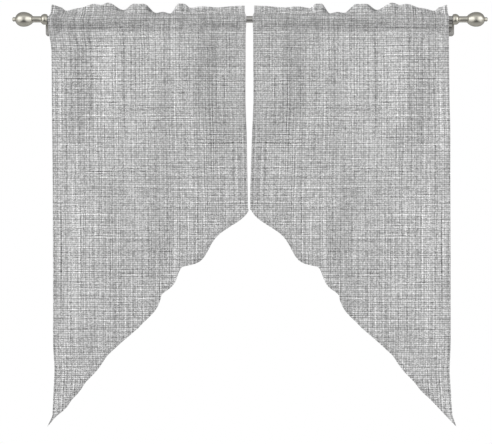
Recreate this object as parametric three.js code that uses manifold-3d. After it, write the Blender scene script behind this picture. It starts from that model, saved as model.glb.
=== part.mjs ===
// A pair of swag valances gathered on a round curtain rod, in millimetres.
// X runs along the rod, Y into the wall and Z up. The origin is on the wall, at the
// rod's height and midway between the brackets, so everything lies at negative Y.
import * as THREE from 'three';
import { mergeVertices } from 'three/addons/utils/BufferGeometryUtils.js';
import Module from 'manifold-3d';

const wasm = await Module();
wasm.setup();

// ---------------------------------------------------------------- driving dimensions
const GAP = 0.3; // between neighbouring pieces

const ROD_RADIUS = 9;
const ROD_TO_WALL = 80; // rod axis to wall
const ROUND_SIDES = 24;

const CUP_CENTRE = 541; // bracket centre, from the middle of the rod
const CUP_WIDTH = 11;
const CUP_WALL = 2.5;
const CUP_PLAY = 0.5; // between the cup and the rod
const CUP_LIP = 5; // the cup's tips, above the rod's axis
const ARM_THICKNESS = 6;
const ARM_DROP = 26; // arm's middle, below the rod's axis
const ARM_BEND = 6; // inner radius of its bend
const PLATE = { width: 39, height: 44, thickness: 3, corner: 8, middle: -16 };

const FINIAL_START = 547.5; // collar's inner face, from the middle of the rod
const SOCKET_DEPTH = 10;

const CLOTH = 1.4; // thickness of one layer
const STITCH_TOP = 13.5; // the pocket's upper seam, above the rod's axis
const STITCH_LOW = -27; // and its lower seam
const TURNED_EDGE = -33; // end of the cloth turned in below the lower seam
const SEAM_FORWARD = 4; // the lower seam, in front of the rod's axis
const SEAM_FOLLOWS = 0.55; // share of a fold's depth that the lower seam takes up
const BODY_FORWARD = 4; // hanging cloth's middle plane, in front of the rod's axis
const FREE_BELOW = 60; // the cloth hangs free of the seam from this far below it
const TAIL_CURL = 9; // how far the tail's tip curls towards the room
const TAIL_FROM = 1590; // where the curl starts, as distance outwards plus downwards
const TAIL_TO = 1640; // and where it is complete
const CUP_CLEARANCE = 2.5; // from the open end of the pocket's back to the bracket
const CUP_EASE = 28; // length over which the cloth loosens towards the cup
const CUP_FORWARD = 5; // the lower seam at the cup, at least

// The pocket lies on the rod at these angles from its top, and then closes below it.
const POCKET_ANGLES = [40, 80, 120];
const FACET_PLAY = 0.05; // more than the gap, because the tunnel's faces are flat
const CLOSING = { down: 0.68, apart: 3.8, slack: 0.5 };
const CLOSED_CORNER = 1.1; // the layers' extra thickness where they turn there
const SEAM_DEPTH = 2; // from the tunnel's lower end to the seam
// How slack it lies before and behind the rod, and how folds, puckers and the cup add to it.
const SLACK = {
  front: { plain: 1.4, fold: 0.35, ripple: 0.6, cup: 4.2 },
  back: { plain: 1.2, fold: -0.2, ripple: -0.6 },
};
// The small puckers that the stitches draw along the seams.
const PUCKERS = [{ height: 0.5, length: 6.9, phase: 1 }, { height: 0.35, length: 4.7, phase: 2 }];

// ---------------------------------------------------------------- tables
// The ruffled header, from the middle of the rod outwards: its top above the rod's axis,
// and how far that top leans towards the room.
const RUFFLES = [
  { at: 12, top: 37.5, lean: -7 },
  { at: 30, top: 37, lean: -8 },
  { at: 90, top: 33.5, lean: -13 },
  { at: 126, top: 36, lean: -9 },
  { at: 161, top: 32.3, lean: -14 },
  { at: 178, top: 42.6, lean: -6 },
  { at: 192, top: 43, lean: -6 },
  { at: 216, top: 17.8, lean: -21 },
  { at: 236, top: 22, lean: -20 },
  { at: 254, top: 19.5, lean: -21 },
  { at: 288, top: 42, lean: -6 },
  { at: 315, top: 42.2, lean: -6 },
  { at: 344, top: 27.2, lean: -18 },
  { at: 386, top: 45.3, lean: -5 },
  { at: 406, top: 39.5, lean: -9 },
  { at: 424, top: 42.2, lean: -6 },
  { at: 463, top: 32.2, lean: -14 },
  { at: 501, top: 25, lean: -19 },
  { at: 515, top: 34, lean: -13 },
  { at: 537, top: 40, lean: -7 },
];

// The ridge and valley lines of the folds: each one's distance from the middle of the rod
// and how far it stands out, at the four heights of FOLD_HEIGHTS.
const FOLDS = [
  { top: 12, topOut: -9, upper: 12, upperOut: -9.5, lower: 12, lowerOut: -7, low: 12, lowOut: -4 },
  { top: 80, topOut: -6.5, upper: 86, upperOut: -5.8, lower: 70, lowerOut: -4.5, low: 60, lowOut: -3 },
  { top: 150, topOut: 9.5, upper: 160, upperOut: 7.7, lower: 155, lowerOut: 2.5, low: 150, lowOut: -2.5 },
  { top: 180, topOut: 10.5, upper: 184, upperOut: 7.5, lower: 184, lowerOut: 1.8, low: 185, lowOut: -5.2 },
  { top: 216, topOut: 7.5, upper: 208, upperOut: 6.3, lower: 214, lowerOut: 2.4, low: 222, lowOut: -4.5 },
  { top: 238, topOut: 9.4, upper: 250, upperOut: 9.8, lower: 275, lowerOut: 7.2, low: 298, lowOut: 3.2 },
  { top: 292, topOut: 3.2, upper: 314, upperOut: 0.2, lower: 318, lowerOut: 2.6, low: 312, lowOut: 3 },
  { top: 340, topOut: 2.8, upper: 345, upperOut: 0.5, lower: 350, lowerOut: 2.4, low: 378, lowOut: 6.2 },
  { top: 422, topOut: -13, upper: 413, upperOut: -11.4, lower: 402, lowerOut: -2.6, low: 430, lowOut: 2.4 },
  { top: 430, topOut: -13, upper: 421, upperOut: -11.2, lower: 438, lowerOut: -2.2, low: 448, lowOut: 1.6 },
  { top: 500, topOut: -4.5, upper: 492, upperOut: -2.6, lower: 485, lowerOut: -6.8, low: 500, lowOut: -5.2 },
  { top: 537, topOut: -6, upper: 537, upperOut: -6.5, lower: 537, lowerOut: -9, low: 537, lowOut: -6.5 },
];
const FOLD_HEIGHTS = [-60, -240, -345, -500];
const FOLDS_FADE = { from: -600, to: -1090 }; // below the lowest of them

// The scalloped lower edge: the notches between scallops, how far the scallop that
// starts at each notch bulges past the straight line to the next one, and where on
// that line it is fullest.
const SCALLOPS = [
  { at: 3, z: -514, bulge: 6.5, fullest: 0.3 },
  { at: 81, z: -578, bulge: 21, fullest: 0.62 },
  { at: 186, z: -670, bulge: 10, fullest: 0.55 },
  { at: 239, z: -743, bulge: 10, fullest: 0.4 },
  { at: 300, z: -832, bulge: -1, fullest: 0.5 },
  { at: 385, z: -907, bulge: 3.5, fullest: 0.5 },
  { at: 445, z: -981, bulge: 2.5, fullest: 0.5 },
];

// The two panels are cut alike. The right one's ridges are where the left one has its
// valleys. The side edges are given by height, as distances from the middle of the rod,
// and the tail is the rest of the lower edge.
const PANELS = [
  {
    name: 'panel_left',
    side: -1,
    foldWay: 1,
    inner: [
      { z: 45, at: 14.5 }, { z: 20, at: 14.5 }, { z: 6, at: 9.5 }, { z: -18, at: 10.5 },
      { z: -40, at: 12.6 }, { z: -225, at: 12.8 }, { z: -310, at: 9.4 }, { z: -510, at: 6 },
    ],
    outer: [
      { z: 45, at: 536 }, { z: 16, at: 539 }, { z: 0, at: 545 }, { z: -27, at: 544 },
      { z: -52, at: 540 }, { z: -80, at: 536.5 }, { z: -480, at: 533 }, { z: -880, at: 531.5 },
      { z: -950, at: 527.5 }, { z: -1020, at: 531 }, { z: -1072, at: 533.5 }, { z: -1098, at: 546 },
    ],
    tail: [
      { at: 483, z: -1029 }, { at: 494, z: -1046 }, { at: 506, z: -1058 }, { at: 519, z: -1068 },
      { at: 529, z: -1078 }, { at: 545.5, z: -1098 },
    ],
  },
  {
    name: 'panel_right',
    side: 1,
    foldWay: -0.95,
    inner: [
      { z: 45, at: 11.5 }, { z: 20, at: 11.5 }, { z: 6, at: 6.8 }, { z: -18, at: 7.6 },
      { z: -40, at: 9.2 }, { z: -225, at: 9.8 }, { z: -310, at: 6 }, { z: -450, at: 1.2 },
      { z: -510, at: 0.5 },
    ],
    outer: [
      { z: 45, at: 533 }, { z: 0, at: 536 }, { z: -60, at: 536 }, { z: -220, at: 537.5 },
      { z: -300, at: 539.5 }, { z: -880, at: 541 }, { z: -950, at: 538 }, { z: -1020, at: 543 },
      { z: -1072, at: 546.5 }, { z: -1098, at: 556 },
    ],
    tail: [
      { at: 486, z: -1025 }, { at: 511, z: -1051 }, { at: 538, z: -1080 }, { at: 547, z: -1089 },
      { at: 555.5, z: -1098 },
    ],
  },
];

const COLUMNS = 42; // sections across a panel
const TIP_COLUMN = 0.989; // one more section, in the thin tail
const HEADER_ROWS = [1, 0.66, 0.33]; // heights in the header, as shares
const HEADER_CURL = 1.15; // the header's lean grows with this power of the height
const BODY_ROWS = [0, 0.12, 0.21, 0.32, 0.44, 0.57, 0.7, 0.82, 0.91, 0.965, 1];
const SCALLOP_STEPS = 12;
const HEM_TRIES = 30; // rounds in which a column's end is found, each closer by HEM_STEP
const HEM_STEP = 0.6;

// ---------------------------------------------------------------- small helpers
const { clamp, degToRad, lerp, smoothstep } = THREE.MathUtils;

/** The value at one place, from values joined by smooth steps between given places. */
function eased(places, values, where) {
  return places.slice(1).reduce(
    (value, place, i) => (
      value + (values[i + 1] - values[i]) * smoothstep(where, places[i], place)
    ),
    values[0],
  );
}

/** Straight-line lookup in rows sorted by one column. */
function lookUp(rows, key, value, column) {
  const down = rows[0][key] > rows[rows.length - 1][key];
  const ordered = down ? [...rows].reverse() : rows;
  const next = ordered.findIndex((row) => row[key] >= value);
  if (next === 0) return ordered[0][column];
  if (next < 0) return ordered[ordered.length - 1][column];
  const [a, b] = [ordered[next - 1], ordered[next]];
  return lerp(a[column], b[column], (value - a[key]) / (b[key] - a[key]));
}

function finish(color, roughness, metalness) {
  return new THREE.MeshStandardMaterial({ color, roughness, metalness });
}

const LINEN = finish(0xb5b5b5, 0.95, 0);
const NICKEL = finish(0xa9a595, 0.35, 1);

function named(name, geometry, material) {
  const mesh = new THREE.Mesh(geometry, material);
  mesh.name = name;
  return mesh;
}

// ---------------------------------------------------------------- cloth
/** The scalloped edge as points, from the inner corner to the tail's tip. */
function lowerEdge(panel) {
  const notches = [...SCALLOPS, ...panel.tail];
  const points = [];
  for (let i = 0; i + 1 < notches.length; i += 1) {
    const [a, b] = [notches[i], notches[i + 1]];
    const length = Math.hypot(b.at - a.at, b.z - a.z);
    const bulge = a.bulge ?? 0;
    const skew = Math.log(0.5) / Math.log(a.fullest ?? 0.5);
    for (let step = 0; step < SCALLOP_STEPS; step += 1) {
      const t = step / SCALLOP_STEPS;
      const out = bulge * Math.sin(Math.PI * t ** skew) ** 1.5;
      points.push({
        at: lerp(a.at, b.at, t) - (out * (a.z - b.z)) / length,
        z: lerp(a.z, b.z, t) - (out * (b.at - a.at)) / length,
      });
    }
  }
  points.push(notches[notches.length - 1]);
  return points;
}

/** Distance from the middle of the rod of a panel's column (share 0 inner, 1 outer). */
function acrossAt(panel, share, z, outerLimit = Infinity) {
  const outer = Math.min(lookUp(panel.outer, 'z', z, 'at'), outerLimit);
  return lerp(lookUp(panel.inner, 'z', z, 'at'), outer, share);
}

/** Height at which a column meets the lower edge. */
function hemOf(panel, edge, share) {
  let z = edge[0].z;
  for (let i = 0; i < HEM_TRIES; i += 1) {
    z = lerp(z, lookUp(edge, 'at', acrossAt(panel, share, z), 'z'), HEM_STEP);
  }
  return z;
}

/** How far the folds push the cloth out of its plane. */
function foldDepth(panel, across, z) {
  const depthsBelow = FOLD_HEIGHTS.map((height) => -height);
  const atHeight = (...values) => eased(depthsBelow, values, -z);
  const places = FOLDS.map((fold) => atHeight(fold.top, fold.upper, fold.lower, fold.low));
  const depths = FOLDS.map((fold) => atHeight(fold.topOut, fold.upperOut, fold.lowerOut, fold.lowOut));
  const fade = 1 - smoothstep(-z, -FOLDS_FADE.from, -FOLDS_FADE.to);
  return panel.foldWay * fade * eased(places, depths, across);
}

/** Small puckers along the seams. */
function pucker(panel, across) {
  return PUCKERS.reduce(
    (sum, { height, length, phase }) => sum + height * Math.sin(across / length + phase * panel.side),
    0,
  );
}

/** What the header and the pocket take from a column's place along the rod. */
function seamOf(panel, share) {
  const across = acrossAt(panel, share, STITCH_TOP);
  const backEnd = CUP_CENTRE - CUP_WIDTH / 2 - CUP_CLEARANCE;
  const overCup = smoothstep(across, backEnd - CUP_EASE, backEnd);
  const ripple = pucker(panel, across);
  const folded = foldDepth(panel, across, STITCH_LOW);
  const low = SEAM_FORWARD + SEAM_FOLLOWS * folded;
  const { front, back } = SLACK;
  const frontSlack = Math.max(0, front.plain + front.fold * folded + front.ripple * ripple);
  const backSlack = Math.max(0, back.plain + back.fold * folded + back.ripple * ripple);
  return {
    across,
    backEnd,
    ripple,
    forward: lerp(low + ripple, Math.max(low, CUP_FORWARD), overCup),
    layers: [
      { way: 1, slack: frontSlack + front.cup * overCup, limit: Infinity },
      { way: -1, slack: backSlack * (1 - overCup), limit: backEnd },
    ],
  };
}

/** The header's two outer faces, from its top down to the upper seam. */
function headerSection(panel, share, seam) {
  const places = RUFFLES.map(({ at }) => at);
  const top = eased(places, RUFFLES.map((ruffle) => ruffle.top), seam.across);
  const lean = eased(places, RUFFLES.map((ruffle) => ruffle.lean), seam.across);
  const front = [];
  const back = [];
  for (const height of [...HEADER_ROWS, 0]) {
    const z = lerp(STITCH_TOP, top, height);
    const forward = lean * height ** HEADER_CURL + seam.ripple * (0.4 + height);
    // The layers lie side by side, square to the way that the header leans.
    const tilt = lean * HEADER_CURL * height ** (HEADER_CURL - 1);
    const length = Math.hypot(tilt, top - STITCH_TOP);
    const [aside, up] = [(CLOTH * (top - STITCH_TOP)) / length, (-CLOTH * tilt) / length];
    const across = acrossAt(panel, share, z);
    front.push({ across, forward: forward + aside, z: z + up });
    back.push({ across, forward: forward - aside, z: z - up });
  }
  return { front, back };
}

/** The pocket's outer faces and the tunnel inside them, from the top of the rod down. */
function pocketSection(panel, share, seam) {
  const halfStep = degToRad((POCKET_ANGLES[1] - POCKET_ANGLES[0]) / 2);
  const snug = (ROD_RADIUS + GAP + FACET_PLAY) / Math.cos(halfStep);
  const closingZ = CLOSING.down * STITCH_LOW;
  const tunnelTop = { across: acrossAt(panel, share, snug, seam.backEnd), forward: 0, z: snug };
  const faces = seam.layers.map(({ way, slack, limit }) => {
    const outside = [];
    const inside = [];
    for (const angle of POCKET_ANGLES.map(degToRad)) {
      const radius = snug + slack * Math.sin(angle);
      const across = acrossAt(panel, share, radius * Math.cos(angle), limit);
      for (const [points, r] of [[inside, radius], [outside, radius + CLOTH]]) {
        points.push({ across, forward: way * r * Math.sin(angle), z: r * Math.cos(angle) });
      }
    }
    const across = acrossAt(panel, share, closingZ, limit);
    const forward = CLOSING.down * seam.forward + way * (CLOSING.apart + CLOSING.slack * slack);
    inside.push({ across, forward, z: closingZ });
    outside.push({ across, forward: forward + way * CLOTH * CLOSED_CORNER, z: closingZ });
    return { outside, inside };
  });
  const tunnelEnd = STITCH_LOW + SEAM_DEPTH;
  const tunnelLow = {
    across: acrossAt(panel, share, tunnelEnd, seam.backEnd), forward: seam.forward, z: tunnelEnd,
  };
  const lowAcross = acrossAt(panel, share, STITCH_LOW);
  const [front, back] = seam.layers.map(({ way }, i) => [
    ...faces[i].outside,
    { across: lowAcross, forward: seam.forward + way * CLOTH, z: STITCH_LOW },
  ]);
  return {
    front,
    back,
    tunnelFront: [tunnelTop, ...faces[0].inside, tunnelLow],
    tunnelBack: faces[1].inside,
  };
}

/** The single hanging layer's two faces, down to the hem. */
function bodySection(panel, edge, share, seam) {
  const hem = hemOf(panel, edge, share);
  const front = [];
  const back = [];
  for (const down of BODY_ROWS) {
    const z = lerp(TURNED_EDGE, hem, down);
    const across = acrossAt(panel, share, z);
    const free = smoothstep(STITCH_LOW - z, 0, FREE_BELOW);
    const slope = (foldDepth(panel, across + 1, z) - foldDepth(panel, across - 1, z)) / 2;
    const half = (CLOTH / 2) * Math.hypot(1, slope);
    const curl = smoothstep(across - z, TAIL_FROM, TAIL_TO) * TAIL_CURL;
    const forward = lerp(seam.forward, BODY_FORWARD + foldDepth(panel, across, z), free) + curl;
    front.push({ across, forward: forward + half, z });
    back.push({ across, forward: forward - half, z });
  }
  return { front, back };
}

/** One vertical section of a panel: its outline and the tunnel that the rod fills. */
function sectionOf(panel, edge, share) {
  const seam = seamOf(panel, share);
  const header = headerSection(panel, share, seam);
  const pocket = pocketSection(panel, share, seam);
  const body = bodySection(panel, edge, share, seam);
  const front = [...header.front, ...pocket.front, ...body.front];
  const back = [...header.back, ...pocket.back, ...body.back];
  const placed = ({ across, forward, z }) => (
    new THREE.Vector3(panel.side * across, -(ROD_TO_WALL + forward), z));
  return {
    outline: [...front, ...back.reverse()].map(placed),
    tunnel: [...pocket.tunnelFront, ...pocket.tunnelBack.reverse()].map(placed),
  };
}

/** The faces that close a panel's side edge, round the open end of its tunnel. */
function sideFaces(outlineSize, tunnelSize) {
  const seam = HEADER_ROWS.length; // the upper seam's place in the front row of points
  const around = tunnelSize / 2; // steps down each side of the tunnel
  const back = (n) => outlineSize - 1 - n;
  const tunnel = (n) => outlineSize + ((n + tunnelSize) % tunnelSize);
  const faces = [];
  const quad = (a, b, c, d) => faces.push([a, b, c], [a, c, d]);
  for (let n = 0; n < outlineSize / 2 - 1; n += 1) {
    if (n >= seam && n < seam + around) {
      const step = n - seam;
      quad(n, n + 1, tunnel(step + 1), tunnel(step));
      quad(back(n + 1), back(n), tunnel(-step), tunnel(-step - 1));
    } else {
      quad(n, n + 1, back(n + 1), back(n));
    }
  }
  faces.push([seam, tunnel(0), back(seam)]);
  faces.push([seam + around, back(seam + around), tunnel(around)]);
  return faces;
}

/** A panel as one closed body: its sections joined side by side. */
function panelGeometry(panel) {
  const edge = lowerEdge(panel);
  const shares = Array.from({ length: COLUMNS + 1 }, (_, i) => i / COLUMNS);
  shares.splice(COLUMNS, 0, TIP_COLUMN);
  const sections = shares.map((share) => sectionOf(panel, edge, share));
  const outlineSize = sections[0].outline.length;
  const tunnelSize = sections[0].tunnel.length;
  const stride = outlineSize + tunnelSize;
  const points = sections.flatMap(({ outline, tunnel }) => [...outline, ...tunnel]);
  const triangles = [];
  const quad = (a, b, c, d) => triangles.push(a, b, c, a, c, d);

  for (let i = 0; i + 1 < sections.length; i += 1) {
    const [here, there] = [i * stride, (i + 1) * stride];
    for (let j = 0; j < outlineSize; j += 1) {
      const k = (j + 1) % outlineSize;
      quad(here + j, there + j, there + k, here + k);
    }
    for (let j = 0; j < tunnelSize; j += 1) {
      const k = (j + 1) % tunnelSize;
      quad(
        here + outlineSize + j,
        here + outlineSize + k,
        there + outlineSize + k,
        there + outlineSize + j,
      );
    }
  }
  for (const [i, reverse] of [[0, false], [sections.length - 1, true]]) {
    for (const face of sideFaces(outlineSize, tunnelSize)) {
      const [a, b, c] = face.map((n) => i * stride + n);
      triangles.push(...(reverse ? [a, c, b] : [a, b, c]));
    }
  }

  // The left panel is the right one's mirror image, so its faces turn the other way.
  if (panel.side > 0) triangles.reverse();
  const geometry = new THREE.BufferGeometry().setFromPoints(points);
  geometry.setIndex(triangles);
  geometry.computeVertexNormals();
  return geometry;
}

// ---------------------------------------------------------------- rod and finials
function rodGeometry() {
  const length = 2 * (FINIAL_START + SOCKET_DEPTH - GAP);
  return new THREE.CylinderGeometry(ROD_RADIUS, ROD_RADIUS, length, ROUND_SIDES);
}

/** A turned finial along +Y, from its collar's open face: collar, neck, egg and tip. */
function finialGeometry() {
  const socket = ROD_RADIUS + GAP;
  const profile = [
    [0, SOCKET_DEPTH], [socket, SOCKET_DEPTH], [socket, 0],
    [11.8, 0], [13.4, 1], [14.2, 3.5], [14.5, 7.5], [14.1, 11], [12.4, 14], [10.2, 16.2],
    [8.6, 18], [8.4, 21], [8.4, 36], [9, 39.6],
    [12.3, 42.2], [14.2, 45.2], [16.2, 48.4], [17.8, 52], [19.2, 56.8], [19.8, 62.6], [19.6, 68.2],
    [18.5, 73.4], [16.2, 78.2], [12.8, 82.2], [8.6, 85.2],
    [5.4, 86.8], [5.4, 88], [6, 90], [5.4, 92.6], [3.5, 94.3], [0, 94.9],
  ];
  const points = profile.map(([radius, along]) => new THREE.Vector2(radius, along));
  return new THREE.LatheGeometry(points, ROUND_SIDES);
}

// ---------------------------------------------------------------- brackets
function toManifold(geometry) {
  const bare = geometry.clone();
  bare.deleteAttribute('normal');
  bare.deleteAttribute('uv');
  const merged = mergeVertices(bare, 1e-4);
  return new wasm.Manifold(new wasm.Mesh({
    numProp: 3,
    vertProperties: new Float32Array(merged.attributes.position.array),
    triVerts: new Uint32Array(merged.index.array),
  }));
}

function fromManifold(solid) {
  const { vertProperties, triVerts } = solid.getMesh();
  const geometry = new THREE.BufferGeometry();
  geometry.setAttribute('position', new THREE.BufferAttribute(new Float32Array(vertProperties), 3));
  geometry.setIndex([...triVerts]);
  geometry.computeVertexNormals();
  return geometry;
}

/** The wall plate, in X and Z about the bracket's middle, its back on the wall. */
function plateGeometry() {
  const { width, height, thickness, corner, middle } = PLATE;
  const [x, z] = [width / 2, height / 2];
  const shape = new THREE.Shape();
  shape.moveTo(-x + corner, -z);
  shape.absarc(x - corner, -z + corner, corner, -Math.PI / 2, 0);
  shape.absarc(x - corner, z - corner, corner, 0, Math.PI / 2);
  shape.absarc(-x + corner, z - corner, corner, Math.PI / 2, Math.PI);
  shape.absarc(-x + corner, -z + corner, corner, Math.PI, 1.5 * Math.PI);
  const geometry = new THREE.ExtrudeGeometry(shape, {
    depth: thickness, bevelEnabled: false, curveSegments: 5,
  });
  return geometry.rotateX(Math.PI / 2).translate(0, 0, middle);
}

/** The cup under the rod and the arm that carries it from behind, as one bent strap. */
function armGeometry() {
  const inner = ROD_RADIUS + CUP_PLAY;
  const outer = inner + CUP_WALL;
  const lip = Math.asin(CUP_LIP / outer);
  const [over, under] = [-ARM_DROP + ARM_THICKNESS / 2, -ARM_DROP - ARM_THICKNESS / 2];
  const [bendX, bendZ] = [-outer - ARM_BEND, over + ARM_BEND];
  const wall = -ROD_TO_WALL + PLATE.thickness / 2;
  const join = -Math.acos((ARM_THICKNESS - outer) / outer);
  const shape = new THREE.Shape();
  // Seen from the side: forward is away from the wall, up is Z, the rod's axis is 0,0.
  shape.absarc(0, 0, inner, lip, Math.PI - lip, true);
  shape.absarc(0, 0, outer, Math.PI - lip, Math.PI, false);
  shape.absarc(bendX, bendZ, ARM_BEND, 0, -Math.PI / 2, true);
  shape.lineTo(wall, over);
  shape.lineTo(wall, under);
  shape.absarc(bendX, bendZ, ARM_BEND + ARM_THICKNESS, -Math.PI / 2, 0, false);
  shape.absarc(0, 0, outer, join, lip, false);
  const geometry = new THREE.ExtrudeGeometry(shape, {
    depth: CUP_WIDTH, bevelEnabled: false, curveSegments: 12,
  });
  return geometry.translate(0, 0, -CUP_WIDTH / 2);
}

function bracketGeometry() {
  // Turns the side view upright: forward becomes -Y, up becomes Z, and depth becomes X.
  const upright = new THREE.Matrix4().makeBasis(
    new THREE.Vector3(0, -1, 0),
    new THREE.Vector3(0, 0, 1),
    new THREE.Vector3(-1, 0, 0),
  ).setPosition(0, -ROD_TO_WALL, 0);
  const arm = toManifold(armGeometry().applyMatrix4(upright));
  return fromManifold(toManifold(plateGeometry()).add(arm));
}

// ---------------------------------------------------------------- assembly
const valances = new THREE.Group();

for (const panel of PANELS) {
  valances.add(named(panel.name, panelGeometry(panel), LINEN));
}

const railing = new THREE.Group();
railing.position.y = -ROD_TO_WALL;
const rod = named('rod', rodGeometry(), NICKEL);
rod.rotation.z = -Math.PI / 2;
railing.add(rod);
valances.add(railing);

for (const [word, side] of [['left', -1], ['right', 1]]) {
  const finial = named(`finial_${word}`, finialGeometry(), NICKEL);
  finial.position.x = side * FINIAL_START;
  finial.rotation.z = (-side * Math.PI) / 2;
  railing.add(finial);

  const bracket = named(`bracket_${word}`, bracketGeometry(), NICKEL);
  bracket.position.x = side * CUP_CENTRE;
  valances.add(bracket);
}

export default valances;
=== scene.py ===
"""Looks of a pair of swag valances gathered on a curtain rod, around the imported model.

X runs along the rod, Y into the wall and Z up, with the origin on the wall at the rod's
height. Blender works in metres. The cloth's own sizes are named in millimetres, as its
maker would give them, and are turned into metres where a mesh is made.
"""
import math
from collections import namedtuple
from types import SimpleNamespace

import bpy
import numpy as np
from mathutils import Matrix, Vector

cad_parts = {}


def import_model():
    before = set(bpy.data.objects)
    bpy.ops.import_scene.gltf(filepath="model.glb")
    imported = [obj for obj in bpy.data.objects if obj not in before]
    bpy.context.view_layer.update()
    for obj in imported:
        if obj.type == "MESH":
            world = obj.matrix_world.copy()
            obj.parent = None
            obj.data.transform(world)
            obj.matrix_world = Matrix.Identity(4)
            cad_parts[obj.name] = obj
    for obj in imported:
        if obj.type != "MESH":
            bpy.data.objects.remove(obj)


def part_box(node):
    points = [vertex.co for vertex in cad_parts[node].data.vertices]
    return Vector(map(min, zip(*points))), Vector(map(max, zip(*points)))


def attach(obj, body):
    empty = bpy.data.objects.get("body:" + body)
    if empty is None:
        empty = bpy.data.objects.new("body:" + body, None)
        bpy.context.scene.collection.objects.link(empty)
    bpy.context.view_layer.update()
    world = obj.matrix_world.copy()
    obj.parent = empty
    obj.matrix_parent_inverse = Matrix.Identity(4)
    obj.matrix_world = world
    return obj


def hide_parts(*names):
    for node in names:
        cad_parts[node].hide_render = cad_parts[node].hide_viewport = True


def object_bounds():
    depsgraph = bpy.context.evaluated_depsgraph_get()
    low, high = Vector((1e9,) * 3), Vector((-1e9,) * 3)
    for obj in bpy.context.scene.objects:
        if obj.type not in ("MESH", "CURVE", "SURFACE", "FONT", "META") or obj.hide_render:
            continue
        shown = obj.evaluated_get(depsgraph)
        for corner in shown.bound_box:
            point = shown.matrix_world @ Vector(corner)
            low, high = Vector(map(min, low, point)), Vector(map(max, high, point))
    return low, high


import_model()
CAD_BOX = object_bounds()

MM = 0.001

# ---------------------------------------------------------------- places from the frame
ROD_LOW, ROD_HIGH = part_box("rod")
ROD_RADIUS = (ROD_HIGH[2] - ROD_LOW[2]) / 2 / MM
ROD_TO_WALL = -(ROD_HIGH[1] + ROD_LOW[1]) / 2 / MM
CUP_LOW, CUP_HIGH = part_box("bracket_right")
CUP_CENTRE = (CUP_HIGH[0] + CUP_LOW[0]) / 2 / MM
FINIAL_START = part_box("finial_right")[0][0] / MM

# ---------------------------------------------------------------- sizes, in millimetres
CLOTH = 1.1  # thickness of one layer
LAYERS_APART = 1.2  # middle to middle where two layers are sewn together
FOLD_RADIUS = 0.95  # of the fold along the header's top
STITCH_TOP = 13.5  # the pocket's upper seam, above the rod's axis
STITCH_LOW = -27.0  # and its lower seam
TURNED_EDGE = -33.0  # end of the cloth turned in below the lower seam
SEAM_FORWARD = 4.0  # the lower seam's middle, in front of the rod's axis
BODY_FORWARD = 4.0  # hanging cloth's middle plane, in front of the rod's axis
CUP_REACH = 8.0  # from the bracket's middle to the open end of the pocket's back
CUP_HEIGHTS = -18.0, 9.0  # between which the pocket's back ends there
OVER_CUP = 28.0, 2.0  # how far before that end the front starts to slacken and is slack
OVER_CUP_FORWARD = 5.0  # the least that the lower seam then stands forward
POCKET_RADIUS = 10.5  # of the cloth's middle round the rod where it lies snug
POCKET_ANGLES = 40, 80, 120  # where it is guided round the rod: degrees down from the top
POCKET_FLANK = 0.68  # the last guide is this share of the way from axis to lower seam,
FLANK_OFF, FLANK_SLACK = 4.4, 0.5  # this far off that line, and so much of the slack more
GUIDE_BEYOND = 7.0, 8.0  # how far the guides go on past the upper and the lower seam
SEAM_FOLLOWS = 0.55  # share of a fold's depth that the lower seam takes up
SEAM_GATHERS = 0.5  # and its share of the gathers' depth
SEAM_SPAN = 0.004, 0.996  # of the panel's width: where the seams' stitches start and end
HANGS_FREE = 60.0  # drop below the lower seam over which the folds take their full depth
GATHERS_AT_SEAM = 0.5  # share of their own depth that the gathers have at its start
TAIL_CURL = 9.0  # how far the tail's tip curls towards the room
TAIL_FROM, TAIL_TO = 1590.0, 1640.0  # where it curls: distance outwards plus downwards
PLATE_HEIGHT = 44.0  # of the bracket's wall plate
HEADER_CURL = 1.15  # the header's lean grows with this power of the height
HEADER_RIPPLE = 0.4, 1.1  # share of the puckers at its foot, and how much more at its top
HEADER_GATHER = 0.8, 0.2  # how fast the gathers deepen up it, and their start as a height
HEADER_OPENS = 0.3  # share of its height over which its layers part to the top's fold
HEM_TOP = TURNED_EDGE + 2.0  # where the side hems start, over the edge turned in there
HEM_WIDTH = 11.0
HEM_STITCHED = 9.3  # the hem's stitches, from its edge
HEM_THICKNESS = {"inner": 1.2, "lower": 1.5, "outer": 1.2}  # of the cloth turned back there
HEM_ROOM = 0.45  # most of the tail's width that one hem takes
STITCHED_WIDTH = 33.0  # a narrower tail has no hem stitches
STITCHED_PART = slice(2, -3)  # of the points along an edge
THREAD_LIFT = 0.1  # of the stitches off the cloth's face

COLUMNS = 150
OUTER_COLUMNS = [0.9955, 0.9985]  # more of them in the thin tail
BODY_ROWS = 150
ROWS_NEAR_SEAM = [1.5, 3, 5, 7.5, 10.5, 14, 18, 23, 29]  # drops below the lower seam
ROWS_NEAR_EDGE = [HEM_WIDTH, HEM_STITCHED, 7, 4.5, 2.5, 1.2, 0.5, 0]  # heights above the edge
MOST_STRETCH = 2.4  # of those heights, where the edge is steep
TURNED_ROWS = 3  # of the cloth turned in below the lower seam
HEADER_STEPS = 9
POCKET_STEPS = 4  # between two of the pocket's guide points
FOLD_ANGLES = 36, 72, 108, 144  # of the rows in the top's fold, in degrees

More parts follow.
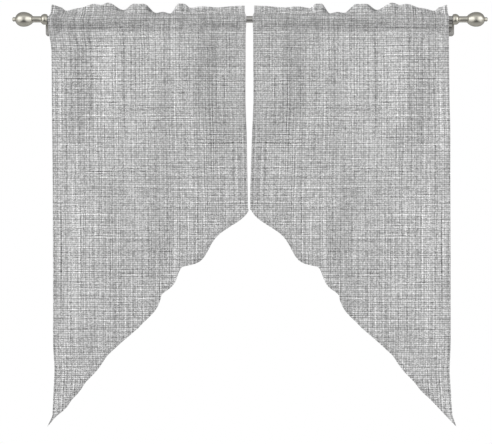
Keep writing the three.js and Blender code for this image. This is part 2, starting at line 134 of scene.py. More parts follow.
# ---------------------------------------------------------------- tables, in millimetres
# at: distance from the middle of the rod. top: the header's top, above the rod's axis.
# lean: how far that top leans towards the room.
Ruffle = namedtuple("Ruffle", "at top lean")
RUFFLES = [
    Ruffle(12, 37.5, -7),
    Ruffle(30, 37, -8),
    Ruffle(90, 33.5, -13),
    Ruffle(126, 36, -9),
    Ruffle(161, 32.3, -14),
    Ruffle(178, 42.6, -6),
    Ruffle(192, 43, -6),
    Ruffle(216, 17.8, -21),
    Ruffle(236, 22, -20),
    Ruffle(254, 19.5, -21),
    Ruffle(288, 42, -6),
    Ruffle(315, 42.2, -6),
    Ruffle(344, 27.2, -18),
    Ruffle(386, 45.3, -5),
    Ruffle(406, 39.5, -9),
    Ruffle(424, 42.2, -6),
    Ruffle(463, 32.2, -14),
    Ruffle(501, 25, -19),
    Ruffle(515, 34, -13),
    Ruffle(537, 40, -7),
]

# How slack the pocket lies before and behind the rod: plainly, and for each millimetre of
# fold, ripple and gather. cup: how much more where it passes over the bracket's cup.
Slack = namedtuple("Slack", "plain fold ripple gather cup")
FRONT_SLACK = Slack(1.4, 0.35, 0.6, 0.6, 4.2)
BACK_SLACK = Slack(1.2, -0.2, -0.6, 0, 0)

# The gathers are drawn at random between these bounds. reach: half of a gather's width.
# fall: how far down it runs. drift: how far it strays sideways for each millimetre down.
GATHERS = SimpleNamespace(
    first=16.0, last=512.0, apart=(9, 21), reach=(8, 15), rise=(0.25, 0.9),
    falls=[35, 60, 110, 190], fall_spread=(0.8, 1.2), drift=(-0.07, 0.07),
    fuller_above=30, wider_below=160,
)
# And so are the broad waves of slack in the hanging cloth. tilt: in radians.
RUMPLES = SimpleNamespace(count=7, depth=0.55, wavelength=(90, 260), tilt=(-1.1, 1.1))
# Puckers along the seams: depth, length of a wave by 2 pi, and start by the panel's side.
PUCKERS = [(0.5, 6.9, 1), (0.35, 4.7, 2)]

# A ridge or valley line of the folds: its distance from the middle of the rod and how far
# it stands out, at the four heights of FOLD_HEIGHTS.
Fold = namedtuple("Fold", "top top_out upper upper_out lower lower_out low low_out")
FOLDS = [
    Fold(12, -9, 12, -9.5, 12, -7, 12, -4),
    Fold(80, -6.5, 86, -5.8, 70, -4.5, 60, -3),
    Fold(150, 9.5, 160, 7.7, 155, 2.5, 150, -2.5),
    Fold(180, 10.5, 184, 7.5, 184, 1.8, 185, -5.2),
    Fold(216, 7.5, 208, 6.3, 214, 2.4, 222, -4.5),
    Fold(238, 9.4, 250, 9.8, 275, 7.2, 298, 3.2),
    Fold(292, 3.2, 314, 0.2, 318, 2.6, 312, 3),
    Fold(340, 2.8, 345, 0.5, 350, 2.4, 378, 6.2),
    Fold(422, -13, 413, -11.4, 402, -2.6, 430, 2.4),
    Fold(430, -13, 421, -11.2, 438, -2.2, 448, 1.6),
    Fold(500, -4.5, 492, -2.6, 485, -6.8, 500, -5.2),
    Fold(537, -6, 537, -6.5, 537, -9, 537, -6.5),
]
FOLD_HEIGHTS = [-60, -240, -345, -500]
FOLDS_FADE = [-600, -1090]  # below the lowest of them

# at, z: a notch of the lower edge. bulge: how far the scallop from there to the next
# notch stands past the straight line. fullest: where on that line it does so.
Scallop = namedtuple("Scallop", "at z bulge fullest", defaults=(0, 0.5))
SCALLOPS = [
    Scallop(3, -514, 6.5, 0.3),
    Scallop(81, -578, 21, 0.62),
    Scallop(186, -670, 10, 0.55),
    Scallop(239, -743, 10, 0.4),
    Scallop(300, -832, -1),
    Scallop(385, -907, 3.5),
    Scallop(445, -981, 2.5),
]

# inner and outer: the side edges, as heights with distances from the middle of the rod.
# tail: the rest of the lower edge. fold_way: the right panel's ridges are where the left
# one has its valleys.
Panel = namedtuple("Panel", "word side fold_way seed inner outer tail")
PANELS = [
    Panel(
        word="left",
        side=-1,
        fold_way=1.0,
        seed=5,
        inner=[
            (45, 14.5), (20, 14.5), (6, 9.5), (-18, 10.5), (-40, 12.6), (-225, 12.8),
            (-310, 9.4), (-510, 6),
        ],
        outer=[
            (45, 536), (16, 539), (0, 545), (-27, 544), (-52, 540), (-80, 536.5), (-480, 533),
            (-880, 531.5), (-950, 527.5), (-1020, 531), (-1072, 533.5), (-1098, 546),
        ],
        tail=[
            Scallop(483, -1029), Scallop(494, -1046), Scallop(506, -1058), Scallop(519, -1068),
            Scallop(529, -1078), Scallop(545.5, -1098),
        ],
    ),
    Panel(
        word="right",
        side=1,
        fold_way=-0.95,
        seed=8,
        inner=[
            (45, 11.5), (20, 11.5), (6, 6.8), (-18, 7.6), (-40, 9.2), (-225, 9.8), (-310, 6),
            (-450, 1.2), (-510, 0.5),
        ],
        outer=[
            (45, 533), (0, 536), (-60, 536), (-220, 537.5), (-300, 539.5), (-880, 541),
            (-950, 538), (-1020, 543), (-1072, 546.5), (-1098, 556),
        ],
        tail=[
            Scallop(486, -1025), Scallop(511, -1051), Scallop(538, -1080), Scallop(547, -1089),
            Scallop(555.5, -1098),
        ],
    ),
]


# ---------------------------------------------------------------- small helpers
def smoothstep(value, low, high):
    """0 up to low, 1 from high on, and a smooth step between them."""
    t = np.clip((value - low) / (high - low), 0.0, 1.0)
    return t * t * (3.0 - 2.0 * t)


def mix(a, b, share):
    """a at share 0, b at share 1, and straight on between them."""
    return a + (b - a) * share


def unit(vectors):
    """The same directions with the length 1, or 0 where there is none."""
    return vectors / (np.linalg.norm(vectors, axis=-1, keepdims=True) + 1e-12)


def hump(distance, reach):
    """1 in the middle, 0 from one reach away."""
    t = np.clip(np.abs(distance) / reach, 0.0, 1.0)
    return (1.0 + np.cos(np.pi * t)) / 2.0


def eased(places, values, where):
    """The value at where, from values that are joined by smooth steps between places."""
    value = values[0]
    for i in range(len(places) - 1):
        step = smoothstep(where, places[i], places[i + 1])
        value = value + (values[i + 1] - values[i]) * step
    return value


def spline(points, steps):
    """Rows of arrays along a smooth curve through points[1:-1], both ends included."""
    rows = []
    for p0, p1, p2, p3 in zip(points, points[1:], points[2:], points[3:]):
        for step in range(steps):
            t = step / steps
            rows.append([
                0.5 * (2 * b + (c - a) * t + (2 * a - 5 * b + 4 * c - d) * t**2
                       + (3 * b - a - 3 * c + d) * t**3)
                for a, b, c, d in zip(p0, p1, p2, p3)
            ])
    rows.append(list(points[-2]))
    return rows


def mesh_object(name, points, faces, smooth_below=40.0):
    """A mesh in metres from points and faces, smooth except at its sharper edges."""
    mesh = bpy.data.meshes.new(name)
    mesh.from_pydata([tuple(p) for p in np.asarray(points)], [], [tuple(f) for f in faces])
    mesh.validate()
    mesh.polygons.foreach_set("use_smooth", [True] * len(mesh.polygons))
    mesh.set_sharp_from_angle(angle=math.radians(smooth_below))
    piece = bpy.data.objects.new(name, mesh)
    bpy.context.scene.collection.objects.link(piece)
    return piece


def dress(piece, material, slot, *nodes):
    """Gives a piece its material, rides it and hides the nodes it stands for. The slot is not used.
    """
    piece.data.materials.append(material)
    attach(piece, "root")
    if nodes:
        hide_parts(*nodes)
    return piece


# ---------------------------------------------------------------- the cloth's shape
def edge_at(rows, z):
    """A side edge's distance from the middle of the rod at height z."""
    heights, places = zip(*rows[::-1])
    return np.interp(z, heights, places)


def across_at(panel, share, z):
    """Distance from the middle of the rod; share is 0 at the inner edge, 1 at the outer."""
    return mix(edge_at(panel.inner, z), edge_at(panel.outer, z), share)


def share_at(panel, across, z):
    """The share that across_at takes, for a distance from the middle of the rod."""
    inner, outer = edge_at(panel.inner, z), edge_at(panel.outer, z)
    return (across - inner) / (outer - inner)


def lower_edge(panel, steps=16):
    """The scalloped edge from the inner corner to the tail's tip, as at and z arrays."""
    notches = SCALLOPS + panel.tail
    places = []
    for a, b in zip(notches, notches[1:]):
        length = math.hypot(b.at - a.at, b.z - a.z)
        skew = math.log(0.5) / math.log(a.fullest)
        for t in np.arange(steps) / steps:
            out = a.bulge * math.sin(math.pi * t**skew) ** 1.5
            places.append((
                mix(a.at, b.at, t) - out * (a.z - b.z) / length,
                mix(a.z, b.z, t) - out * (b.at - a.at) / length,
            ))
    places.append((notches[-1].at, notches[-1].z))
    at, z = np.array(places).T
    return at, z


def hem_height(panel, share, rounds=40, pace=0.6):
    """Height at which each column meets the lower edge, closed in on by rounds."""
    at, z = lower_edge(panel)
    height = np.full(np.shape(share), z[0])
    for _ in range(rounds):
        height = mix(height, np.interp(across_at(panel, share, height), at, z), pace)
    return height


def fold_depth(panel, across, z):
    """How far the main folds push the cloth out of its plane."""
    def at_height(*values):
        return eased([-height for height in FOLD_HEIGHTS], values, -z)

    places = [at_height(f.top, f.upper, f.lower, f.low) for f in FOLDS]
    depths = [at_height(f.top_out, f.upper_out, f.lower_out, f.low_out) for f in FOLDS]
    fade = 1 - smoothstep(-z, -FOLDS_FADE[0], -FOLDS_FADE[1])
    return panel.fold_way * fade * eased(places, depths, across)


def pucker(panel, across):
    """Small puckers along the seams."""
    return sum(
        depth * np.sin(across / length + start * panel.side) for depth, length, start in PUCKERS
    )


def gathers_of(panel):
    """Narrow folds that the gathering leaves, unevenly spaced, out and in by turns."""
    rng = np.random.default_rng(panel.seed)
    places, at, way = [], GATHERS.first, 1
    while at < GATHERS.last:
        places.append(SimpleNamespace(
            at=at, reach=rng.uniform(*GATHERS.reach), rise=way * rng.uniform(*GATHERS.rise),
            fall=rng.choice(GATHERS.falls) * rng.uniform(*GATHERS.fall_spread),
            drift=rng.uniform(*GATHERS.drift),
        ))
        at += rng.uniform(*GATHERS.apart)
        way = -way
    return places


def gather_depth(panel, across, z):
    """How far the gathers push the cloth out, most at the seams and in the header."""
    depth = np.zeros(np.broadcast(across, z).shape)
    below = np.clip(STITCH_LOW - z, 0.0, None)
    above = np.clip(z - STITCH_TOP, 0.0, None)
    for gather in gathers_of(panel):
        strength = np.exp(-((below / gather.fall) ** 2)) * (1 + above / GATHERS.fuller_above)
        reach = gather.reach * (1 + below / GATHERS.wider_below)
        off = across - gather.at - gather.drift * below
        depth = depth + gather.rise * strength * hump(off, reach)
    return depth


def rumple(panel, across, z):
    """Slack in the hanging cloth: a few broad waves that cross each other."""
    rng = np.random.default_rng(panel.seed + 100)
    depth = np.zeros(np.broadcast(across, z).shape)
    for _ in range(RUMPLES.count):
        wavelength, tilt = rng.uniform(*RUMPLES.wavelength), rng.uniform(*RUMPLES.tilt)
        phase = rng.uniform(0, 6.3)
        along = across * math.cos(tilt) + z * math.sin(tilt)
        depth = depth + RUMPLES.depth * np.sin(2 * np.pi * along / wavelength + phase)
    return depth


def columns_at(panel, share):
    """What the header, pocket and body need to know about the columns at these shares."""
    c = SimpleNamespace(share=share)
    c.seam_across = across_at(panel, share, STITCH_TOP)
    c.ripple = pucker(panel, c.seam_across)
    c.gather = gather_depth(panel, c.seam_across, 0.0)
    places = [ruffle.at for ruffle in RUFFLES]
    c.top = eased(places, [ruffle.top for ruffle in RUFFLES], c.seam_across)
    c.lean = eased(places, [ruffle.lean for ruffle in RUFFLES], c.seam_across)
    folded = fold_depth(panel, c.seam_across, STITCH_LOW)
    pocket_end = CUP_CENTRE - CUP_REACH
    c.over_cup = smoothstep(c.seam_across, pocket_end - OVER_CUP[0], pocket_end - OVER_CUP[1])
    seam_plain = SEAM_FORWARD + SEAM_FOLLOWS * folded
    c.seam_forward = mix(
        seam_plain + c.ripple + SEAM_GATHERS * c.gather,
        np.maximum(seam_plain, OVER_CUP_FORWARD), c.over_cup)

    def slack(of):
        loose = of.plain + of.fold * folded + of.ripple * c.ripple + of.gather * c.gather
        return np.maximum(0, loose)

    c.loose_front = slack(FRONT_SLACK) + FRONT_SLACK.cup * c.over_cup
    c.loose_back = slack(BACK_SLACK) * (1 - c.over_cup)
    return c


def body_forward(panel, c, z):
    """The hanging cloth's middle, in front of the rod's axis."""
    across = across_at(panel, c.share, z)
    free = smoothstep(STITCH_LOW - z, 0, HANGS_FREE)
    hanging = BODY_FORWARD + fold_depth(panel, across, z)
    gathered = gather_depth(panel, across, z) * mix(GATHERS_AT_SEAM, 1.0, free)
    loose = gathered + rumple(panel, across, z) * free
    curl = smoothstep(across - z, TAIL_FROM, TAIL_TO) * TAIL_CURL
    return mix(c.seam_forward + LAYERS_APART / 2, hanging, free) + loose * free + curl


def header_forward(c, height):
    """The middle between the header's two layers; height is 0 at the seam, 1 at the top."""
    rippled = c.ripple * (HEADER_RIPPLE[0] + HEADER_RIPPLE[1] * height)
    gathered = HEADER_GATHER[0] * c.gather * (HEADER_GATHER[1] + height)
    return c.lean * height**HEADER_CURL + rippled + gathered


def pocket_rows(c, way):
    """The pocket's layer before (way 1) or behind (way -1) the rod, from its top down."""
    loose = c.loose_front if way > 0 else c.loose_back
    flat = np.ones(c.share.shape)
    seam_top = header_forward(c, 0.0) + way * LAYERS_APART / 2
    guides = [
        (seam_top, (STITCH_TOP + GUIDE_BEYOND[0]) * flat),
        (seam_top, STITCH_TOP * flat),
    ]
    for degrees in POCKET_ANGLES:
        angle = math.radians(degrees)
        radius = POCKET_RADIUS + loose * math.sin(angle)
        guides.append((way * radius * math.sin(angle), radius * math.cos(angle)))
    flank = POCKET_FLANK * c.seam_forward + way * (FLANK_OFF + FLANK_SLACK * loose)
    guides.append((flank, POCKET_FLANK * STITCH_LOW * flat))
    seam_low = c.seam_forward + way * LAYERS_APART / 2
    guides += [(seam_low, STITCH_LOW * flat), (seam_low, (STITCH_LOW - GUIDE_BEYOND[1]) * flat)]
    return spline(guides, POCKET_STEPS)


def header_square(c, height):
    """The direction out of the header's plane, towards the room, as forward and up."""
    tilt = c.lean * HEADER_CURL * height ** (HEADER_CURL - 1)
    length = np.hypot(tilt, c.top - STITCH_TOP)
    return (c.top - STITCH_TOP) / length, -tilt / length


def header_rows(c, way):
    """One layer of the header, from the upper seam to where the top's fold begins."""
    rows = []
    for height in np.arange(1, HEADER_STEPS + 1) / HEADER_STEPS:
        apart = way * mix(LAYERS_APART / 2, FOLD_RADIUS, smoothstep(height, 0, HEADER_OPENS))
        aside, up = header_square(c, height)
        z = mix(STITCH_TOP, c.top - FOLD_RADIUS, height)
        rows.append([header_forward(c, height) + apart * aside, z + apart * up])
    return rows


def top_fold(c):
    """The turn over the header's top, from behind to the front, between its two layers."""
    middle, z = header_forward(c, 1.0), c.top - FOLD_RADIUS
    aside, up = header_square(c, 1.0)
    rows = []
    for angle in np.radians(FOLD_ANGLES):
        apart, beyond = -FOLD_RADIUS * math.cos(angle), FOLD_RADIUS * math.sin(angle)
        rows.append([middle + apart * aside - beyond * up, z + apart * up + beyond * aside])
    return rows


def body_rows(panel, c):
    """The hanging cloth from below the lower seam to the scalloped edge."""
    hem = hem_height(panel, c.share)
    at = across_at(panel, c.share, hem)
    slope = np.gradient(hem, at)
    stretch = np.clip(np.hypot(1, slope), 1, MOST_STRETCH)
    rows = [STITCH_LOW - drop + 0 * hem for drop in ROWS_NEAR_SEAM]
    first, last = rows[-1], hem + ROWS_NEAR_EDGE[0] * stretch
    count = BODY_ROWS - len(ROWS_NEAR_SEAM) - len(ROWS_NEAR_EDGE)
    rows += [mix(first, last, (i + 1) / (count + 1)) for i in range(count)]
    rows += [hem + height * stretch for height in ROWS_NEAR_EDGE]
    return [[body_forward(panel, c, z), z] for z in rows]


def back_limit(panel, share, z):
    """Across for a layer behind the rod, which ends short of the bracket's cup."""
    across = across_at(panel, share, z)
    low, high = CUP_HEIGHTS
    beside_cup = smoothstep(z, STITCH_LOW, low) * (1 - smoothstep(z, high, STITCH_TOP))
    inner = edge_at(panel.inner, z)
    narrowed = mix(inner, np.minimum(edge_at(panel.outer, z), CUP_CENTRE - CUP_REACH), share)
    return mix(across, narrowed, beside_cup)


def cloth_grid(panel):
    """The cloth's middle surface, as across, forward and z by rows and columns.

    It starts at the turned-in edge behind the pocket, goes up the back, over the header's
    top and down the front. The second value is the row of the lower seam in front."""
    share = np.sort(np.append(np.linspace(0, 1, COLUMNS), OUTER_COLUMNS))
    c = columns_at(panel, share)
    behind = []
    for z in np.linspace(TURNED_EDGE, STITCH_LOW, TURNED_ROWS + 1)[:-1]:
        behind.append([body_forward(panel, c, z) - LAYERS_APART, z + 0 * share])
    behind += pocket_rows(c, -1)[::-1] + header_rows(c, -1)
    to_seam = top_fold(c) + header_rows(c, 1)[::-1] + pocket_rows(c, 1)
    grid = []
    for forward, z in behind:
        grid.append([back_limit(panel, share, z), forward, z])
    for forward, z in to_seam + body_rows(panel, c):
        grid.append([across_at(panel, share, z), forward, z])
    return np.array(grid).transpose(1, 0, 2), len(behind) + len(to_seam) - 1


def to_metres(panel, across, forward, z):
    """Points in the frame from places on a panel in millimetres."""
    across, forward, z = np.broadcast_arrays(across, forward, z)
    return np.stack([panel.side * across, -(ROD_TO_WALL + forward), z], axis=-1) * MM


def thick_sheet(name, middle, thickness, uv):
    """A closed sheet about a middle surface given as rows by columns of points."""
    down, along = np.gradient(middle, axis=0), np.gradient(middle, axis=1)
    out = unit(np.cross(down, along)) * thickness / 2
    points = np.concatenate([(middle + out).reshape(-1, 3), (middle - out).reshape(-1, 3)])
    rows, columns = middle.shape[:2]
    other = rows * columns
    index = np.arange(other).reshape(rows, columns)
    a, b, c, d = index[:-1, :-1], index[:-1, 1:], index[1:, 1:], index[1:, :-1]
    front = np.stack([a, d, c, b], axis=-1).reshape(-1, 4)
    back = front[:, ::-1] + other
    rim = np.concatenate([index[0, :], index[1:, -1], index[-1, -2::-1], index[-2:0:-1, 0]])
    after = np.roll(rim, -1)
    sides = np.stack([rim, after, after + other, rim + other], axis=-1)
    piece = mesh_object(name, points, np.concatenate([front, back, sides]))
    lay_uv(piece, np.concatenate([uv.reshape(-1, 2)] * 2))
    return piece


def lay_uv(piece, flat):
    """Gives each vertex its place in the flat cloth, in metres, as the mesh's UV map."""
    mesh = piece.data
    corner = np.empty(len(mesh.loops), dtype=np.int64)
    mesh.loops.foreach_get("vertex_index", corner)
    layer = mesh.uv_layers.new(name="cloth")
    layer.data.foreach_set("uv", flat[corner].astype(np.float32).ravel())


def flat_places(middle, seam_row, rows=40):
    """Where each point lies in the flat cloth, its zero on the lower front seam.

    Places along the weft come from the first rows below that seam."""
    steps = np.linalg.norm(np.diff(middle, axis=1), axis=-1)
    across = np.concatenate([[0.0], np.cumsum(steps[seam_row:seam_row + rows].mean(axis=0))])
    steps = np.linalg.norm(np.diff(middle, axis=0), axis=-1)
    down = np.vstack([np.zeros(middle.shape[1]), np.cumsum(steps, axis=0)])
    down = down[seam_row] - down
    return np.stack([np.broadcast_to(across, down.shape), down], axis=-1)


# ---------------------------------------------------------------- hems and stitches
def edge_line(panel, part, spacing=4.0, rows=60):
    """One stretch of the hemmed edge: places, and the direction into the cloth."""
    if part == "lower":
        at, z = lower_edge(panel)
    else:
        edge = panel.inner if part == "inner" else panel.outer
        low = SCALLOPS[0].z if part == "inner" else panel.tail[0].z
        z = np.linspace(HEM_TOP, low, rows)
        at = edge_at(edge, z)
    length = np.concatenate([[0.0], np.cumsum(np.hypot(np.diff(at), np.diff(z)))])
    stops = np.linspace(0, length[-1], int(length[-1] / spacing) + 1)
    at, z = np.interp(stops, length, at), np.interp(stops, length, z)
    along = np.stack([np.gradient(at), np.gradient(z)])
    along /= np.hypot(*along)
    inward = np.stack([-along[1], along[0]])
    return at, z, -inward if part == "outer" else inward


def width_at(panel, z):
    """The cloth's width at height z, from the scalloped edge to the outer one."""
    at, height = lower_edge(panel)
    return edge_at(panel.outer, z) - np.interp(-z, -height, at)


def on_cloth(panel, at, z, lift):
    """A point of the hanging cloth, lifted off its middle towards the room."""
    share = np.clip(share_at(panel, at, z), 0.0, 1.0)
    forward = body_forward(panel, columns_at(panel, share), z)
    return to_metres(panel, at, forward + lift, z)


def hem_section(thick):
    """A hem cut across: distances from the edge and places before the cloth's middle.

    It goes from the cloth's front round its edge, along the hem's back and up inside it."""
    front, back = CLOTH / 2, -CLOTH / 2 - thick
    return [
        (0.1, front - 0.1), (-0.45, -0.1), (-0.6, -0.8), (-0.3, back + 0.35), (0.5, back),
        (HEM_WIDTH - 0.6, back), (HEM_WIDTH, back + 0.4), (HEM_WIDTH, -0.2), (0.8, -0.1),
    ]


def hem_strip(panel, part):
    """The turned-back cloth behind one stretch of edge, as rings of one section."""
    at, z, inward = edge_line(panel, part)
    room = HEM_ROOM * width_at(panel, z)
    rings = []
    for distance, lift in hem_section(HEM_THICKNESS[part]):
        d = np.minimum(distance, room)
        rings.append(on_cloth(panel, at + d * inward[0], z + d * inward[1], lift))
    return np.stack(rings, axis=1)


def loft(rings):
    """Points and faces of a closed band from rings by points of a section."""
    count, size = rings.shape[:2]
    index = np.arange(count * size).reshape(count, size)
    a, b = index[:-1], index[1:]
    faces = np.stack([a, np.roll(a, -1, 1), np.roll(b, -1, 1), b], axis=-1).reshape(-1, 4)
    ends = [list(index[0][::-1]), list(index[-1])]
    return rings.reshape(-1, 3), [list(f) for f in faces] + ends


def joined(parts):
    """Several lists of points and faces as one."""
    points, faces, start = [], [], 0
    for some, others in parts:
        points.append(some)
        faces += [[start + i for i in face] for face in others]
        start += len(some)
    return np.concatenate(points), faces


def stitch_row(line, length=2.7, pitch=3.7, thick=0.34, sides=5):
    """Short threads along a line of points in metres, each a small closed spindle."""
    # Along a thread and out from its middle, as shares of its length and thickness.
    places, radii = np.array([(0, 0.35), (0.25, 1), (0.75, 1), (1, 0.35)]).T
    steps = np.linalg.norm(np.diff(line, axis=0), axis=1)
    total = np.concatenate([[0.0], np.cumsum(steps)]) / MM
    starts = np.arange(0, total[-1] - length, pitch)
    stops = starts[:, None] + length * places
    centre = np.stack([np.interp(stops, total, line[:, i]) for i in range(3)], axis=-1)
    along = unit(centre[:, -1] - centre[:, 0])
    towards_room = np.array([0.0, -1.0, 0.0])
    beside = unit(np.cross(along, towards_room))
    up = np.cross(beside, along)
    turn = (2 * np.pi * np.arange(sides) / sides)[:, None]
    ring = np.cos(turn) * beside[:, None] + np.sin(turn) * up[:, None]
    rings = centre[:, :, None] + ring[:, None] * (radii * thick * MM)[:, None, None]
    return [loft(one) for one in rings]


def seam_line(panel, height, lift, places=240):
    """A straight seam through the pocket's cloth, on its outer face."""
    share = np.linspace(*SEAM_SPAN, places)
    c = columns_at(panel, share)
    middle = header_forward(c, 0.0) if height == STITCH_TOP else c.seam_forward
    return to_metres(panel, across_at(panel, share, height), middle + lift, height)


def valance(panel, linen, header_linen, hem_linen, thread):
    """One panel: its cloth, its turned hems and its stitches."""
    (across, forward, z), seam_row = cloth_grid(panel)
    middle = to_metres(panel, across, forward, z)
    flat = flat_places(middle, seam_row)
    cloth = thick_sheet(f"cloth_{panel.word}", middle, CLOTH * MM, flat)
    dress(cloth, linen, "cloth", f"panel_{panel.word}")
    cloth.data.materials.append(header_linen)
    in_header = [int(face.center.z > STITCH_TOP * MM) for face in cloth.data.polygons]
    cloth.data.polygons.foreach_set("material_index", in_header)

    strips = [hem_strip(panel, part) for part in HEM_THICKNESS]
    points, faces = joined([loft(strip) for strip in strips])
    hems = mesh_object(f"hems_{panel.word}", points, faces)
    lay_uv(hems, np.stack([np.abs(points[:, 0]), points[:, 2]], axis=-1))
    dress(hems, hem_linen, "cloth")

    lift = CLOTH / 2 + THREAD_LIFT
    seams = STITCH_TOP, STITCH_LOW
    lines = [seam_line(panel, height, LAYERS_APART / 2 + lift) for height in seams]
    for part in HEM_THICKNESS:
        at, height, inward = edge_line(panel, part)
        wide = width_at(panel, height) > STITCHED_WIDTH
        at, height = at + HEM_STITCHED * inward[0], height + HEM_STITCHED * inward[1]
        lines.append(on_cloth(panel, at[wide], height[wide], lift)[STITCHED_PART])
    points, faces = joined([one for line in lines for one in stitch_row(line)])
    stitches = dress(mesh_object(f"stitches_{panel.word}", points, faces), thread, "cloth")


# ---------------------------------------------------------------- rod, finials, brackets
def lathe(profile, sides=72):
    """Points and faces turned about X from (radius, along) pairs, closed at both ends."""
    turn = 2 * np.pi * np.arange(sides) / sides
    rings = np.array([
        [(along, radius * math.sin(t), radius * math.cos(t)) for t in turn]
        for radius, along in profile
    ])
    return loft(rings)


def smooth_profile(profile, corners, steps=5):
    """The profile with more points: a smooth curve, broken at the corners."""
    marks = sorted({0, len(profile) - 1, *corners})
    fine = []
    for first, last in zip(marks, marks[1:]):
        part = profile[first:last + 1]
        if last - first == 1:
            fine += part[:-1]
            continue
        guides = [part[0], *part, part[-1]]
        fine += [tuple(row) for row in spline(guides, steps)[:-1]]
    return fine + [profile[-1]]


# The finial's radius with the distance from its open face.
SOCKET = [(0.3, 10), (9.3, 10), (9.3, 0)]
COLLAR = [
    (11.8, 0), (13.4, 1), (14.2, 3.5), (14.5, 7.5), (14.1, 11), (12.4, 14), (10.2, 16.2), (8.6, 18),
]
NECK = [(8.4, 21), (8.4, 36), (9, 39.6)]
EGG = [
    (12.3, 42.2), (14.2, 45.2), (16.2, 48.4), (17.8, 52), (19.2, 56.8), (19.8, 62.6),
    (19.6, 68.2), (18.5, 73.4), (16.2, 78.2), (12.8, 82.2), (8.6, 85.2),
]
TIP = [(5.4, 86.8), (5.4, 88), (6, 90), (5.4, 92.6), (3.5, 94.3), (0.1, 94.9)]
FINIAL = SOCKET + COLLAR + NECK + EGG + TIP
FINIAL_CORNERS = [FINIAL.index(point) for point in [*SOCKET[1:], COLLAR[0], *NECK, TIP[0]]]


def finial(word, side, metal):
    """The turned end piece, its open face over the rod's end."""
    points, faces = lathe(smooth_profile(FINIAL, FINIAL_CORNERS))
    points = points * MM
    points[:, 0] = side * (FINIAL_START * MM + points[:, 0])
    points[:, 1] -= ROD_TO_WALL * MM
    if side < 0:
        faces = [face[::-1] for face in faces]
    piece = mesh_object(f"finial_turned_{word}", points, faces)
    dress(piece, metal, "nickel", f"finial_{word}")


def rod(metal):
    """The rod, its ends bevelled."""
    half, radius, cut, centre = ROD_HIGH[0] / MM, ROD_RADIUS, 0.6, 0.2
    profile = [
        (centre, -half), (radius - cut, -half), (radius, -half + cut),
        (radius, half - cut), (radius - cut, half), (centre, half),
    ]
    points, faces = lathe(profile)
    points = points * MM
    points[:, 1] -= ROD_TO_WALL * MM
    dress(mesh_object("rod_tube", points, faces, smooth_below=30), metal, "nickel", "rod")


def arc(centre, radius, first, last, steps):
    """Points on an arc, angles in radians, both ends included."""
    return [
        (centre[0] + radius * math.cos(a), centre[1] + radius * math.sin(a))
        for a in np.linspace(first, last, steps + 1)
    ]


def prism(outline, low, high):
    """Points and faces of an outline of (forward, up) pairs drawn out along X."""
    rings = np.array([[(x, -forward, up) for forward, up in outline] for x in (low, high)])
    return loft(rings)


def bracket_strap(word, side, metal):
    """The cup under the rod and the bent strap that carries it from the wall plate."""
    cup_width, wall, play, lip_height = 11.0, 2.5, 0.5, 5.0
    strap, drop, bend, into_plate = 6.0, 26.0, 6.0, 1.5
    inner, outer = ROD_RADIUS + play, ROD_RADIUS + play + wall
    lip = math.asin(lip_height / outer)
    over, under = -drop + strap / 2, -drop - strap / 2
    corner = (-outer - bend, over + bend)
    back = -ROD_TO_WALL + into_plate
    join = -math.acos((strap - outer) / outer)
    outline = (
        arc((0, 0), inner, lip, -math.pi - lip, 28)
        + arc((0, 0), outer, math.pi - lip, math.pi, 4)
        + arc(corner, bend, 0, -math.pi / 2, 8)
        + [(back, over), (back, under)]
        + arc(corner, bend + strap, -math.pi / 2, 0, 10)
        + arc((0, 0), outer, join, lip, 22)
    )
    points, faces = prism(outline, -cup_width / 2, cup_width / 2)
    points[:, 1] -= ROD_TO_WALL
    points[:, 0] += side * CUP_CENTRE
    points *= MM
    piece = mesh_object(f"bracket_strap_{word}", points, faces, smooth_below=35)
    bevel(piece, 0.7)
    dress(piece, metal, "nickel", f"bracket_{word}")


def bracket_plate(word, side, metal):
    """A thin flange with rounded corners and a raised middle, its back on the wall."""
    corner, flange, slant, flange_thick, thick = 8.0, 3.0, 0.6, 1.6, 3.2
    low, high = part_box(f"bracket_{word}")
    x, below = (high[0] - low[0]) / 2 / MM - corner, low[2] / MM + corner
    above = below + PLATE_HEIGHT - 2 * corner

    def rounded(inset):
        rim = []
        for across, up, turn in ((x, below, -0.5), (x, above, 0), (-x, above, 0.5), (-x, below, 1)):
            first = turn * math.pi
            rim += arc((across, up), corner - inset, first, first + math.pi / 2, 7)
        return rim

    levels = (0, 0), (0, flange_thick), (flange, flange_thick), (flange + slant, thick)
    rings = np.array([[(x, -depth, z) for x, z in rounded(inset)] for inset, depth in levels])
    rings[..., 0] += side * CUP_CENTRE
    points, faces = loft(rings * MM)
    piece = mesh_object(f"bracket_plate_{word}", points, faces, smooth_below=35)
    bevel(piece, 0.4)
    dress(piece, metal, "nickel")


def bevel(piece, width):
    """Rounds a piece's sharp edges."""
    rounding = piece.modifiers.new("rounded", "BEVEL")
    rounding.width = width * MM
    rounding.segments = 3
    rounding.limit_method = "ANGLE"
    rounding.angle_limit = math.radians(35)
    rounding.harden_normals = True


# ---------------------------------------------------------------- materials
# Name, the share of the light that goes on through a face of the cloth, and how that
# light's tone follows from the cloth's: times what, plus what. The header and the hems are
# modelled thicker than they are, so their linen is sheerer.
LINENS = [
    ("linen", 0.42, 1.0, 0.15),
    ("header_linen", 0.55, 1.15, 0.22),
    ("hem_linen", 0.8, 0.5, 0.6),
]
# Name, the two tints that it varies between, and the tint at grazing angles.
NICKELS = [
    ("rod_nickel", (0.60, 0.59, 0.57), (0.50, 0.49, 0.47), 0.5),
    ("turned_nickel", (0.67, 0.65, 0.58), (0.57, 0.55, 0.48), 0.3),
    # The brackets' tints are darker than the rod's nickel: painted shade for the shade that the
    # cloth casts over the brackets.
    ("bracket_nickel_painted_shade", (0.44, 0.435, 0.42), (0.36, 0.355, 0.34), 0.5),
]


